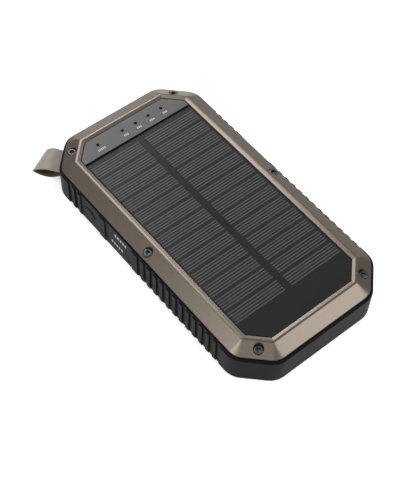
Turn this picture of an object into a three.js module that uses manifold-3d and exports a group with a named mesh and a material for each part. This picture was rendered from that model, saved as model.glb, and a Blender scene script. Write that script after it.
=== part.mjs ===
// Rugged solar power bank: a painted bezel holds a solar panel and an indicator plate over a hard
// lower case in a ribbed rubber boot. Units are millimetres. The origin is the centre of the flat
// back, +Z is up through the solar panel, +Y points to the indicator end and +X to the right.
import * as THREE from 'three';
import { mergeVertices } from 'three/addons/utils/BufferGeometryUtils.js';
import Module from 'manifold-3d';

const wasm = await Module();
wasm.setup();

// ---------------------------------------------------------------- driving dimensions
const WINDOW = { halfX: 32.25, halfY: 70, cut: 8.45, corner: 0.3 }; // octagonal opening of the bezel
const CUT_GROWTH = 2 - Math.SQRT2; // how much a corner cut grows with an outward offset
const CORNER_STEPS = 3;

// heights above the flat back
const PANEL_TOP = 20.6;
const RIDGE_TOP = 21.1;
const SLOPE_TOP = 20.95;
const LIP_TOP = 17.2;
const LIP_BOTTOM = 16.75;
const BOOT_TOP = 16.3;
const RIM_TOP = 15.6;
const FLOOR_TOP = 1.8;

// clearances, and how far a cutting tool runs past what it cuts
const FIT_GAP = 0.3;
const THIN_GAP = 0.05;
const PAST = 1;

// offsets outward from the window's edge
const BEZEL_OUT = 9.25;
const RIDGE_OUT = 2.6;
const RIDGE_IN = 1.25;
const PANEL_OUT = -0.35;
const SHELF_IN = -2;
const BOOT_OUT = 10.7;
const BOOT_IN = 8.75;
const CASE_OUT = 8.4;
const CASE_IN = 6.2;
const SEAL = { out: 9.05, in: 8.55 };
const GASKET = { out: -0.3, in: -1.8 };
const BOOT_CORNER_RADIUS = 10.5;

// sections of the boot and the bezel: [offset, z]
const BOOT_LIP = [[7.85, 0], [9.5, 0], [10.1, 0.16], [10.54, 0.6], [BOOT_OUT, 1.2]];
const BOOT_FLOOR = 0.9;
const BOOT_TOP_BEVEL = 0.25;
const SHELF_BOTTOM = 17.3;
const BEZEL_SPIGOT = { offset: 8.45, bottom: RIM_TOP + FIT_GAP };

const BOOT_HALF_X = WINDOW.halfX + BOOT_OUT;
const BOOT_HALF_Y = WINDOW.halfY + BOOT_OUT;
const CASE_HALF_X = WINDOW.halfX + CASE_OUT;
const CASE_HALF_Y = WINDOW.halfY + CASE_OUT;

// ribs of the long sides
const RIB = { first: 0.18, pitch: 4.79, width: 2.4, count: 12, depth: 0.75 };
const LABEL_WINDOW = { from: 6.95, to: 28.2, depth: 0.6 };
const LONG_RIB = { low: 2.6, high: 32.6 };
const LEFT_RIBS = [[47.9, 49.9], [52.8, 54.9]];
const LEFT_END = 57.9;
const RIGHT_RIBS = [[34.8, 37.2], [39.5, 41.95], [44.2, 46.6]];
const RIGHT_END = 49;

// screws
const SCREW_SPOTS = {
  far_left: [-31.45, 70],
  far_right: [31.45, 70],
  near_left: [-31.45, -70],
  near_right: [31.45, -70],
  mid_left: [-38.35, 0],
  mid_right: [38.35, 0],
};
const SCREW = { seat: 16.9, headRadius: 2.2, headHeight: 2, shankRadius: 1.2, tip: 12.9, hexRadius: 1.15 };
const HEX_DEPTH = 1.2;
const COUNTERBORE_RADIUS = 2.45;
const SHANK_HOLE_RADIUS = 1.45;
const BOSS = { radius: 3.4, top: 19 };
const POST = { radius: 3.2, bottom: 1 };
const INSERT = { outer: 1.8, bore: 1.3, bottom: 13, hole: 1.85 };

// solar panel and indicator plate
const CELLS_NEAR = -55.75;
const PANEL_FAR = 56.85;
const PLATE_NEAR = 57.95;
const LAMINATE_BOTTOM = 20;
const BOARD_BOTTOM = 18.85;
const SHELF_TOP = 18.5;
const CELL = { gapCentre: -0.88, gap: 3.6, width: 29.95, thickness: 0.27, pocket: 0.32 };
const CELL_MARGIN = { near: 0.4, far: 0.6, side: 0.75, pocket: 0.1, under: 0.03 };
const LED = { y: 64.75, first: 19.34, pitch: 8.02, count: 4, solarX: -19.65 };
const LED_SPOTS = Array.from({ length: LED.count }, (_, i) => LED.first - i * LED.pitch);
LED_SPOTS.push(LED.solarX);
const LED_SIZE = { halfX: 0.8, halfY: 0.5, height: 0.7 };
const GUIDE = { radius: 0.6, footRadius: 0.95, plateHole: 0.75, boardHole: 1.15, sunk: 0.25 };

// circuit board and what stands on it
const BOARD_TOP = 6.6;
const BOARD_THICKNESS = 1.2;
const USB_A = { width: 13.1, height: 5.7, depth: 12, wall: 0.4, spots: [-12.5, 4.5] };
const USB_C = { width: 9, height: 3.2, depth: 7.4, wall: 0.35, x: 17 };
const USB_A_TONGUE = { halfWidth: 5.6, low: 0.1, high: 1.94, setBack: 1 };
const USB_C_TONGUE = { halfWidth: 3.3, low: -0.35, high: 0.35, setBack: 0.8 };
const SOCKET_BACK_WALL = 2;
const PORT_FACE = CASE_HALF_Y - 0.1;
const PORT_ROOM_BACK = 75;
const BOARD_OUTLINE = [
  [-36.5, 39.6], [37, 39.6], [37, 58], [27.4, 65.6], [27.4, 73.8], [25.4, 75.8], [-21.6, 75.8], [-27.2, 70.2],
  [-27.2, 64], [-29, 62.4], [-36.5, 58],
];
const CHIP = { x: -4.5, y: 53.5, size: 7, height: 1.1 };
const INDUCTOR = { x: 13, y: 51, size: 10, height: 4.6 };
const CAPACITOR = { x: -20, spots: [54, 47], radius: 3.15, height: 7.75 };

// battery pouch cells, one on the other
const POUCH = {
  width: 66,
  length: 100,
  corner: 2,
  thickness: 7.3,
  middleY: -13.5,
  bottoms: { battery_lower: FLOOR_TOP + 0.3, battery_upper: FLOOR_TOP + 7.9 },
};
const POUCH_TAB = { x: 12, halfWidth: 4, length: 1.5, low: 3.5, high: 3.8 };
const FOAM_MARGIN = { side: 5, end: 2 };

// wires
const LEAD_RADIUS = 0.6;
const WIRE_RED = 0xa5231f;
const WIRE_BLACK = 0x1a1a1a;
const BATTERY_ROUTE = [[37.2, 13.6], [37.25, 14.4], [39.5, 15.2], [42.5, 11], [43, BOARD_TOP + 0.1]];
const PANEL_ROUTE = [[52, BOARD_BOTTOM - 0.1], [52.2, 15.5], [55, 12.5], [56.5, 10], [56.8, BOARD_TOP + 0.1]];
const LEADS = {
  battery_lead_red: { x: 12, color: WIRE_RED, route: BATTERY_ROUTE },
  battery_lead_black: { x: -12, color: WIRE_BLACK, route: BATTERY_ROUTE },
  panel_lead_red: { x: -26, color: WIRE_RED, route: PANEL_ROUTE },
  panel_lead_black: { x: -29.5, color: WIRE_BLACK, route: PANEL_ROUTE },
};

// port cover in the far end of the boot
const COVER = { left: -21, right: 21, bottom: 4.5, top: 14.5, hingeX: 21.15, anchorRight: 24 };
const COVER_BACK = BOOT_HALF_Y - 1.95;
const COVER_FACE = BOOT_HALF_Y - 0.1;
const COVER_MIDDLE_Z = (COVER.top + COVER.bottom) / 2;
const COVER_HEIGHT = COVER.top - COVER.bottom;
const COVER_CORNER = 1;
const COVER_PLUG = { width: 10.6, height: 1.9, length: 1.4, drop: 1.15 };
const FINGER_NOTCH = { out: 2, in: 1, depth: 1, halfHeight: 2.75 };

// power button in the left side
const BUTTON = { y: 41, z: 8.9, halfLength: 4, halfHeight: 2.5, face: -(BOOT_HALF_X - 0.25) };
const BUTTON_CROWN = { inset: 0.3, height: 0.3 };
const BUTTON_FLANGE = { left: -38.1, right: -37.25, longer: 2.4, higher: 1.8, corner: 1.5 };
const SWITCH = { left: -36.4, depth: 4.5, halfWidth: 2.25, rise: 1.9, well: 2.6, wellDepth: 2.2 };
const PLUNGER = { size: 2, reach: 1.4 };
const ALMOST = 0.01; // keeps a fully round end from meeting itself

// strap in the far left corner: its pin lies along the corner's face
const STRAP = { along: 27.3, width: 14, z: 9.7, pinOut: 73.4, pinRadius: 0.9, thickness: 0.75, skew: 0.024 };
const STRAP_LOOP = { root: 2, upper: 2.7, lower: 3.9, tip: 17.7, tipInset: 1.6, rootSteps: 8 };
const SKEW_FROM = 3.5;
const SKEW_SPAN = 14;
const STRAP_POCKET = { back: 71.3, halfWidth: 7.35, caseHalfHeight: 2.7, bootBack: 72, bootHalfHeight: 3.5 };
const STRAP_BLOCK = { back: 69.5, halfWidth: 10, bottom: 1 };
const PIN_HOLE = { before: 14, after: 8.5 };
const PIN = { before: 8.6, after: 8.3 };
const CORNER_FRONT = 80; // clear of everything outside the far left corner

// ---------------------------------------------------------------- solids
function solidOf(geometry) {
  const bare = geometry.clone();
  bare.deleteAttribute('normal');
  bare.deleteAttribute('uv');
  const merged = mergeVertices(bare, 1e-5);
  const mesh = new wasm.Mesh({
    numProp: 3,
    vertProperties: new Float32Array(merged.attributes.position.array),
    triVerts: new Uint32Array(merged.index.array),
  });
  return new wasm.Manifold(mesh);
}

function geometryOf(solid) {
  const mesh = solid.getMesh();
  const geometry = new THREE.BufferGeometry();
  geometry.setAttribute('position', new THREE.BufferAttribute(new Float32Array(mesh.vertProperties), 3));
  geometry.setIndex(new THREE.BufferAttribute(new Uint32Array(mesh.triVerts), 1));
  geometry.computeVertexNormals();
  return geometry;
}

function cut(solid, ...tools) {
  return tools.reduce((left, tool) => left.subtract(tool), solid);
}

function join(solid, ...more) {
  return more.reduce((all, next) => all.add(next), solid);
}

function box(x0, x1, y0, y1, z0, z1) {
  const geometry = new THREE.BoxGeometry(x1 - x0, y1 - y0, z1 - z0);
  geometry.translate((x0 + x1) / 2, (y0 + y1) / 2, (z0 + z1) / 2);
  return solidOf(geometry);
}

function post(x, y, radius, bottom, top, sides = 20) {
  const geometry = new THREE.CylinderGeometry(radius, radius, top - bottom, sides);
  geometry.rotateX(Math.PI / 2);
  geometry.translate(x, y, (bottom + top) / 2);
  return solidOf(geometry);
}

// A plate or bar: a 2D outline in XY, extruded from bottom to top.
function plate(shape, bottom, top, curveSegments = 6) {
  const depth = top - bottom;
  const geometry = new THREE.ExtrudeGeometry(shape, { depth, bevelEnabled: false, curveSegments });
  geometry.translate(0, 0, bottom);
  return solidOf(geometry);
}

function roundedRect(width, height, radius) {
  const x = width / 2;
  const y = height / 2;
  const shape = new THREE.Shape();
  shape.moveTo(x, -y + radius);
  shape.absarc(x - radius, y - radius, radius, 0, Math.PI / 2);
  shape.absarc(-x + radius, y - radius, radius, Math.PI / 2, Math.PI);
  shape.absarc(-x + radius, -y + radius, radius, Math.PI, 1.5 * Math.PI);
  shape.absarc(x - radius, -y + radius, radius, 1.5 * Math.PI, 2 * Math.PI);
  return shape;
}

// A rounded bar along X, from x0 to x1, centred on (y, z).
function barAlongX(width, height, radius, x0, x1, y, z) {
  const geometry = new THREE.ExtrudeGeometry(roundedRect(width, height, radius), {
    depth: x1 - x0,
    bevelEnabled: false,
    curveSegments: 5,
  });
  geometry.applyMatrix4(new THREE.Matrix4().set(0, 0, 1, x0, 1, 0, 0, y, 0, 1, 0, z, 0, 0, 0, 1));
  return solidOf(geometry);
}

// A rounded bar along Y, from y0 to y1, centred on (x, z).
function barAlongY(width, height, radius, y0, y1, x, z) {
  const geometry = new THREE.ExtrudeGeometry(roundedRect(width, height, radius), {
    depth: y1 - y0,
    bevelEnabled: false,
    curveSegments: 4,
  });
  geometry.applyMatrix4(new THREE.Matrix4().set(-1, 0, 0, x, 0, 0, 1, y0, 0, 1, 0, z, 0, 0, 0, 1));
  return solidOf(geometry);
}

// The octagon at an offset from the window's edge, each corner an arc of the given radius.
function octagon(offset, radius) {
  const halfX = WINDOW.halfX + offset;
  const halfY = WINDOW.halfY + offset;
  const sideX = halfX - WINDOW.cut - CUT_GROWTH * offset;
  const sideY = halfY - WINDOW.cut - CUT_GROWTH * offset;
  const corners = [
    [sideX, -halfY], [halfX, -sideY], [halfX, sideY], [sideX, halfY],
    [-sideX, halfY], [-halfX, sideY], [-halfX, -sideY], [-sideX, -halfY],
  ];
  const points = [];
  corners.forEach(([x, y], i) => {
    const first = (i - 2) * (Math.PI / 4);
    const middle = first + Math.PI / 8;
    const reach = radius / Math.cos(Math.PI / 8);
    for (let step = 0; step <= CORNER_STEPS; step += 1) {
      const angle = first + (step / CORNER_STEPS) * (Math.PI / 4);
      points.push(new THREE.Vector2(
        x - reach * Math.cos(middle) + radius * Math.cos(angle),
        y - reach * Math.sin(middle) + radius * Math.sin(angle),
      ));
    }
  });
  return points;
}

// Joins octagons into one skin. Each profile entry is [offset, z, corner radius]. A closed profile
// makes a frame; an open one is capped below its first octagon and above its last.
function octagonalSolid(profile, closed) {
  const rings = profile.map(([offset, z, radius]) => octagon(offset, radius).map((p) => [p.x, p.y, z]));
  const count = rings[0].length;
  const positions = rings.flat(2);
  const index = [];
  const spans = closed ? rings.length : rings.length - 1;
  for (let k = 0; k < spans; k += 1) {
    const low = k * count;
    const high = ((k + 1) % rings.length) * count;
    for (let i = 0; i < count; i += 1) {
      const j = (i + 1) % count;
      index.push(low + i, low + j, high + j, low + i, high + j, high + i);
    }
  }
  if (!closed) {
    const last = (rings.length - 1) * count;
    for (let i = 1; i < count - 1; i += 1) {
      index.push(0, i + 1, i, last, last + i, last + i + 1);
    }
  }
  const geometry = new THREE.BufferGeometry();
  geometry.setAttribute('position', new THREE.Float32BufferAttribute(positions, 3));
  geometry.setIndex(index);
  return solidOf(geometry);
}

const cornerRadius = (offset) => Math.max(WINDOW.corner, BOOT_CORNER_RADIUS - (BOOT_OUT - offset));
const caseRing = (offset, z) => [offset, z, cornerRadius(offset)];
const windowRing = (offset, z) => [offset, z, WINDOW.corner];
const filledCase = (profile) => octagonalSolid(profile.map(([offset, z]) => caseRing(offset, z)), false);

// ---------------------------------------------------------------- materials
function material(color, roughness, metalness) {
  return new THREE.MeshStandardMaterial({ color, roughness, metalness });
}

const bronzePaint = () => material(0x8c8074, 0.42, 0.35);
const blackRubber = () => material(0x343434, 0.75, 0);
const blackPlastic = () => material(0x2b2b2c, 0.6, 0);
const blackSteel = () => material(0x1c1c1d, 0.4, 0.8);
const bareSteel = () => material(0xb8babb, 0.3, 0.9);
const brass = () => material(0xb8923f, 0.35, 0.9);
const laminateBlack = () => material(0x262627, 0.3, 0);
const cellSilicon = () => material(0x2e2f31, 0.35, 0);
const plateGrey = () => material(0x6a6b6c, 0.4, 0);
const smokedGuide = () => material(0x2d2d2f, 0.15, 0);
const ledBody = () => material(0xf1efe2, 0.4, 0);
const boardGreen = () => material(0x1d5a35, 0.45, 0);
const cellFoil = () => material(0xc3c5c6, 0.35, 0.6);
const foam = () => material(0x3a3a3a, 0.95, 0);
const chipBlack = () => material(0x17181a, 0.5, 0);
const strapTaupe = () => material(0x8a8175, 0.6, 0);
const wire = (color) => material(color, 0.5, 0);

const charger = new THREE.Group();

function addPiece(name, geometry, pieceMaterial) {
  const mesh = new THREE.Mesh(geometry, pieceMaterial);
  mesh.name = name;
  charger.add(mesh);
  return mesh;
}

function addSolid(name, solid, pieceMaterial) {
  return addPiece(name, geometryOf(solid), pieceMaterial);
}

// ---------------------------------------------------------------- places in the strap's corner
// "out" is measured from the origin square to the far left corner's face, "along" in line with it.
const OUT = new THREE.Vector3(-Math.SQRT1_2, Math.SQRT1_2, 0);
const ALONG = new THREE.Vector3(Math.SQRT1_2, Math.SQRT1_2, 0);

function cornerBox(out0, out1, along0, along1, z0, z1) {
  const geometry = new THREE.BoxGeometry(along1 - along0, out1 - out0, z1 - z0);
  geometry.translate((along0 + along1) / 2, (out0 + out1) / 2, (z0 + z1) / 2);
  geometry.applyMatrix4(new THREE.Matrix4().makeBasis(ALONG, OUT, new THREE.Vector3(0, 0, 1)));
  return solidOf(geometry);
}

function pinRod(radius, along0, along1, sides) {
  const geometry = new THREE.CylinderGeometry(radius, radius, along1 - along0, sides);
  geometry.rotateZ(-Math.PI / 4);
  const middle = (along0 + along1) / 2;
  geometry.translate(...OUT.clone().multiplyScalar(STRAP.pinOut).addScaledVector(ALONG, middle).toArray());
  geometry.translate(0, 0, STRAP.z);
  return solidOf(geometry);
}

// ---------------------------------------------------------------- rubber boot
function sideGrooves(side, ribs, endY) {
  const blocks = [[LONG_RIB.low, LABEL_WINDOW.from], [LABEL_WINDOW.to, LONG_RIB.high], ...ribs];
  for (let i = 0; i < RIB.count; i += 1) {
    const top = RIB.first - i * RIB.pitch;
    blocks.push([top - RIB.width, top]);
  }
  blocks.sort((a, b) => a[0] - b[0]);
  const nearEnd = RIB.first - RIB.count * RIB.pitch;
  const starts = [nearEnd, ...blocks.map((block) => block[1])];
  const ends = [...blocks.map((block) => block[0]), endY];
  return starts.map((start, i) => {
    const wide = ends[i] - start > 2 * RIB.pitch;
    const floor = BOOT_HALF_X - (wide ? LABEL_WINDOW.depth : RIB.depth);
    const [x0, x1] = side < 0 ? [-BOOT_HALF_X - PAST, -floor] : [floor, BOOT_HALF_X + PAST];
    return box(x0, x1, start, ends[i], -PAST, BOOT_TOP + PAST);
  });
}

function buttonHole(clearance, x0, x1) {
  const length = 2 * (BUTTON.halfLength + clearance);
  const height = 2 * (BUTTON.halfHeight + clearance);
  return barAlongX(length, height, height / 2 - ALMOST, x0, x1, BUTTON.y, BUTTON.z);
}

function strapSlot(back, halfHeight) {
  const { along, z } = STRAP;
  const half = STRAP_POCKET.halfWidth;
  return cornerBox(back, CORNER_FRONT, along - half, along + half, z - halfHeight, z + halfHeight);
}

function rubberBoot() {
  const profile = [
    ...BOOT_LIP,
    [BOOT_OUT, BOOT_TOP - BOOT_TOP_BEVEL],
    [BOOT_OUT - BOOT_TOP_BEVEL, BOOT_TOP],
    [BOOT_IN, BOOT_TOP],
    [BOOT_IN, BOOT_FLOOR],
  ];
  const ring = octagonalSolid(profile.map(([offset, z]) => caseRing(offset, z)), true);
  const left = COVER.left - FIT_GAP;
  const right = COVER.anchorRight + FIT_GAP;
  const front = BOOT_HALF_Y + PAST;
  const notchLeft = left - FINGER_NOTCH.out;
  const notchBottom = COVER_MIDDLE_Z - FINGER_NOTCH.halfHeight;
  const notchTop = COVER_MIDDLE_Z + FINGER_NOTCH.halfHeight;
  return cut(
    ring,
    ...sideGrooves(-1, LEFT_RIBS, LEFT_END),
    ...sideGrooves(1, RIGHT_RIBS, RIGHT_END),
    box(left, right, CASE_HALF_Y - FIT_GAP, front, COVER.bottom - FIT_GAP, COVER.top + FIT_GAP),
    box(notchLeft, left + FINGER_NOTCH.in, BOOT_HALF_Y - FINGER_NOTCH.depth, front, notchBottom, notchTop),
    buttonHole(FIT_GAP, -BOOT_HALF_X - PAST, -CASE_HALF_X),
    strapSlot(STRAP_POCKET.bootBack, STRAP_POCKET.bootHalfHeight),
  );
}

// ---------------------------------------------------------------- lower case
function lowerCase() {
  const body = filledCase([[7.4, 0], [CASE_OUT, 1], [CASE_OUT, RIM_TOP]]);
  const room = filledCase([[CASE_IN, FLOOR_TOP], [CASE_IN, RIM_TOP + PAST]]);
  const { back, bottom, halfWidth } = STRAP_BLOCK;
  const block = cornerBox(
    back, CORNER_FRONT, STRAP.along - halfWidth, STRAP.along + halfWidth, bottom, INSERT.bottom,
  );
  const spots = Object.values(SCREW_SPOTS);
  const posts = spots.map(([x, y]) => post(x, y, POST.radius, POST.bottom, RIM_TOP));
  const holes = spots.map(([x, y]) => post(x, y, INSERT.hole, INSERT.bottom - FIT_GAP, RIM_TOP + PAST));
  const tub = join(body.subtract(room), join(block, ...posts).intersect(body));
  return cut(
    tub,
    ...holes,
    ...USB_A.spots.map((x) => portRoom(USB_A, x)),
    portRoom(USB_C, USB_C.x),
    buttonHole(FIT_GAP, -CASE_HALF_X - PAST, PAST - WINDOW.halfX - CASE_IN),
    strapSlot(STRAP_POCKET.back, STRAP_POCKET.caseHalfHeight),
    pinRod(STRAP.pinRadius + THIN_GAP, STRAP.along - PIN_HOLE.before, STRAP.along + PIN_HOLE.after, 16),
  );
}

function portMiddle(port) {
  return BOARD_TOP + THIN_GAP + port.height / 2;
}

function portRoom(port, x) {
  const width = port.width + 2 * FIT_GAP;
  const height = port.height + 2 * FIT_GAP;
  const corner = port === USB_C ? height / 2 - ALMOST : port.wall;
  return barAlongY(width, height, corner, PORT_ROOM_BACK, CASE_HALF_Y + PAST, x, portMiddle(port));
}

// ---------------------------------------------------------------- bezel
function bezelSurface(offset, z) {
  const blend = THREE.MathUtils.clamp((offset - RIDGE_OUT) / (BEZEL_OUT - RIDGE_OUT), 0, 1);
  return [offset, z, THREE.MathUtils.lerp(WINDOW.corner, cornerRadius(BEZEL_OUT), blend)];
}

function topBezel() {
  const middle = (RIDGE_OUT + BEZEL_OUT) / 2;
  const frame = octagonalSolid([
    bezelSurface(BEZEL_OUT, LIP_BOTTOM),
    bezelSurface(BEZEL_OUT, LIP_TOP),
    bezelSurface(middle, (LIP_TOP + SLOPE_TOP) / 2),
    bezelSurface(RIDGE_OUT, SLOPE_TOP),
    windowRing(RIDGE_IN, RIDGE_TOP),
    windowRing(0, PANEL_TOP + 0.1),
    windowRing(0, SHELF_TOP),
    windowRing(SHELF_IN, SHELF_TOP),
    windowRing(SHELF_IN, SHELF_BOTTOM),
    windowRing(0.6, SHELF_BOTTOM),
    bezelSurface(3, SHELF_BOTTOM + 0.9),
    bezelSurface(CASE_IN, LIP_BOTTOM),
  ], true);
  const envelope = octagonalSolid([
    bezelSurface(BEZEL_SPIGOT.offset, BEZEL_SPIGOT.bottom),
    bezelSurface(BEZEL_SPIGOT.offset, LIP_BOTTOM),
    bezelSurface(BEZEL_OUT, LIP_BOTTOM),
    bezelSurface(BEZEL_OUT, LIP_TOP),
    bezelSurface(middle, (LIP_TOP + SLOPE_TOP) / 2),
    bezelSurface(RIDGE_OUT, SLOPE_TOP),
  ], false);
  const spots = Object.values(SCREW_SPOTS);
  const bosses = spots.map(([x, y]) => post(x, y, BOSS.radius, RIM_TOP, BOSS.top).intersect(envelope));
  const counterbores = spots.map(([x, y]) => post(x, y, COUNTERBORE_RADIUS, SCREW.seat, RIDGE_TOP + PAST, 24));
  const shankHoles = spots.map(([x, y]) => post(x, y, SHANK_HOLE_RADIUS, RIM_TOP - PAST, PANEL_TOP));
  return cut(join(frame, ...bosses), ...counterbores, ...shankHoles);
}

// A flat ring with a square section, between two heights less a thin gap.
function washer(ringAt, { out, in: inner }, bottom, top) {
  const low = bottom + THIN_GAP;
  const high = top - THIN_GAP;
  return octagonalSolid([ringAt(out, low), ringAt(out, high), ringAt(inner, high), ringAt(inner, low)], true);
}

// ---------------------------------------------------------------- screws
function socketScrew([x, y]) {
  const top = SCREW.seat + THIN_GAP + SCREW.headHeight;
  const head = post(x, y, SCREW.headRadius, SCREW.seat + THIN_GAP, top, 20);
  const shank = post(x, y, SCREW.shankRadius, SCREW.tip, top - HEX_DEPTH, 14);
  return join(head, shank).subtract(post(x, y, SCREW.hexRadius, top - HEX_DEPTH, top + PAST, 6));
}

function threadedInsert([x, y]) {
  return post(x, y, INSERT.outer, INSERT.bottom, RIM_TOP - THIN_GAP, 18)
    .subtract(post(x, y, INSERT.bore, INSERT.bottom - PAST, RIM_TOP + PAST, 18));
}

// ---------------------------------------------------------------- solar panel
function windowSlab(offset, bottom, top) {
  return octagonalSolid([windowRing(offset, bottom), windowRing(offset, top)], false);
}

function guideHoles(radius, bottom, top) {
  return LED_SPOTS.map((x) => post(x, LED.y, radius, bottom, top, 14));
}

function panelBoard() {
  return cut(
    windowSlab(PANEL_OUT, BOARD_BOTTOM, LAMINATE_BOTTOM - THIN_GAP),
    ...guideHoles(GUIDE.boardHole, BOARD_BOTTOM - PAST, LAMINATE_BOTTOM + PAST),
  );
}

function cellSheetBox(side, clearance, bottom, top) {
  const inner = CELL.gap / 2 - clearance;
  const outer = inner + CELL.width + 2 * clearance;
  const edge = WINDOW.halfX - CELL_MARGIN.side + clearance;
  const [x0, x1] = side < 0
    ? [Math.max(CELL.gapCentre - outer, -edge), CELL.gapCentre - inner]
    : [CELL.gapCentre + inner, CELL.gapCentre + outer];
  const near = CELLS_NEAR + CELL_MARGIN.near - clearance;
  const far = PANEL_FAR - CELL_MARGIN.far + clearance;
  return box(x0, x1, near, far, bottom, top);
}

function panelLaminate() {
  const floor = PANEL_TOP - CELL.pocket;
  return cut(
    windowSlab(PANEL_OUT, LAMINATE_BOTTOM, PANEL_TOP),
    box(-BOOT_HALF_X, BOOT_HALF_X, PANEL_FAR, BOOT_HALF_Y, 0, RIDGE_TOP),
    cellSheetBox(-1, CELL_MARGIN.pocket, floor, PANEL_TOP + PAST),
    cellSheetBox(1, CELL_MARGIN.pocket, floor, PANEL_TOP + PAST),
  );
}

function cellSheet(side) {
  const bottom = PANEL_TOP - CELL.pocket + CELL_MARGIN.under;
  return cellSheetBox(side, 0, bottom, bottom + CELL.thickness);
}

function indicatorPlate() {
  return cut(
    windowSlab(PANEL_OUT, LAMINATE_BOTTOM, PANEL_TOP),
    box(-BOOT_HALF_X, BOOT_HALF_X, -BOOT_HALF_Y, PLATE_NEAR, 0, RIDGE_TOP),
    ...guideHoles(GUIDE.plateHole, LAMINATE_BOTTOM - PAST, PANEL_TOP + PAST),
  );
}

function lightGuidePin(x) {
  const shoulder = LAMINATE_BOTTOM - 0.6;
  const foot = BOARD_TOP + THIN_GAP + LED_SIZE.height + FIT_GAP;
  return join(
    post(x, LED.y, GUIDE.footRadius, foot, shoulder, 12),
    post(x, LED.y, GUIDE.radius, foot, PANEL_TOP - GUIDE.sunk, 12),
  );
}

// ---------------------------------------------------------------- electronics
function circuitBoard() {
  const shape = new THREE.Shape(BOARD_OUTLINE.map(([x, y]) => new THREE.Vector2(x, y)));
  return plate(shape, BOARD_TOP - BOARD_THICKNESS, BOARD_TOP);
}

function socketShell(port, x) {
  const z = portMiddle(port);
  const back = PORT_FACE - port.depth;
  const width = port.width - 2 * port.wall;
  const height = port.height - 2 * port.wall;
  const corner = port === USB_C ? port.height / 2 - ALMOST : port.wall;
  const innerCorner = port === USB_C ? height / 2 - ALMOST : port.wall / 2;
  const shell = barAlongY(port.width, port.height, corner, back, PORT_FACE, x, z);
  const inside = barAlongY(width, height, innerCorner, back + SOCKET_BACK_WALL, PORT_FACE + PAST, x, z);
  const { halfWidth, low, high, setBack } = port === USB_C ? USB_C_TONGUE : USB_A_TONGUE;
  const tongueBack = back + SOCKET_BACK_WALL / 2;
  const tongue = box(x - halfWidth, x + halfWidth, tongueBack, PORT_FACE - setBack, z + low, z + high);
  return join(shell.subtract(inside), tongue);
}

// A block on the circuit board, centred on (x, y).
function onBoard(x, y, halfX, halfY, height) {
  const bottom = BOARD_TOP + THIN_GAP;
  return box(x - halfX, x + halfX, y - halfY, y + halfY, bottom, bottom + height);
}

function capacitor(y) {
  return post(CAPACITOR.x, y, CAPACITOR.radius, BOARD_TOP + THIN_GAP, BOARD_TOP + CAPACITOR.height, 16);
}

function tactSwitch() {
  const { left, depth, halfWidth, rise, well, wellDepth } = SWITCH;
  const { y, z } = BUTTON;
  const body = box(left, left + depth, y - halfWidth, y + halfWidth, BOARD_TOP + THIN_GAP, z + rise);
  return body.subtract(barAlongX(well, well, well / 2 - ALMOST, left - PAST, left + wellDepth, y, z));
}

function pouchCell(bottom) {
  const body = plate(roundedRect(POUCH.width, POUCH.length, POUCH.corner), bottom, bottom + POUCH.thickness);
  const end = POUCH.length / 2;
  const { halfWidth, length, low, high } = POUCH_TAB;
  const tabs = [-POUCH_TAB.x, POUCH_TAB.x].map((x) => (
    box(x - halfWidth, x + halfWidth, end - PAST, end + length, bottom + low, bottom + high)
  ));
  return join(body, ...tabs).translate([0, POUCH.middleY, 0]);
}

function batteryFoam() {
  const bottom = POUCH.bottoms.battery_upper + POUCH.thickness + THIN_GAP;
  const width = POUCH.width - 2 * FOAM_MARGIN.side;
  const length = POUCH.length - 2 * FOAM_MARGIN.end;
  const pad = plate(roundedRect(width, length, POUCH.corner), bottom, BOARD_BOTTOM - THIN_GAP);
  return pad.translate([0, POUCH.middleY, 0]);
}

function lead(points) {
  const path = new THREE.CatmullRomCurve3(points.map((p) => new THREE.Vector3(...p)));
  const section = new THREE.Shape();
  section.absarc(0, 0, LEAD_RADIUS, 0, 2 * Math.PI);
  const sweep = { steps: 14, extrudePath: path, curveSegments: 4, bevelEnabled: false };
  return new THREE.ExtrudeGeometry(section, sweep);
}

// ---------------------------------------------------------------- button
function powerButton() {
  const { y, z, halfLength, halfHeight, face } = BUTTON;
  const { inset, height: crownHeight } = BUTTON_CROWN;
  const { left, right, longer, higher, corner } = BUTTON_FLANGE;
  const length = 2 * halfLength;
  const height = 2 * halfHeight;
  const crownLength = length - 2 * inset;
  const crownWidth = height - 2 * inset;
  const stem = barAlongX(length, height, halfHeight - ALMOST, face + crownHeight, right, y, z);
  const crown = barAlongX(crownLength, crownWidth, crownWidth / 2 - ALMOST, face, face + PAST, y, z);
  const flange = barAlongX(length + longer, height + higher, corner, left, right, y, z);
  return join(stem, crown, flange);
}

function switchPlunger() {
  const { size, reach } = PLUNGER;
  const start = BUTTON_FLANGE.right + THIN_GAP;
  return barAlongX(size, size, size / 2 - ALMOST, start, SWITCH.left + reach, BUTTON.y, BUTTON.z);
}

// ---------------------------------------------------------------- port cover
function coverPanel(left, right) {
  const middle = (left + right) / 2;
  return barAlongY(right - left, COVER_HEIGHT, COVER_CORNER, COVER_BACK, COVER_FACE, middle, COVER_MIDDLE_Z);
}

function portCover() {
  const { width, height, length, drop } = COVER_PLUG;
  const start = COVER_BACK - length;
  const z = portMiddle(USB_A) - drop;
  const plugs = USB_A.spots.map((x) => barAlongY(width, height, 0.3, start, COVER_BACK + PAST, x, z));
  return join(coverPanel(COVER.left, COVER.hingeX - FIT_GAP), ...plugs);
}

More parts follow.
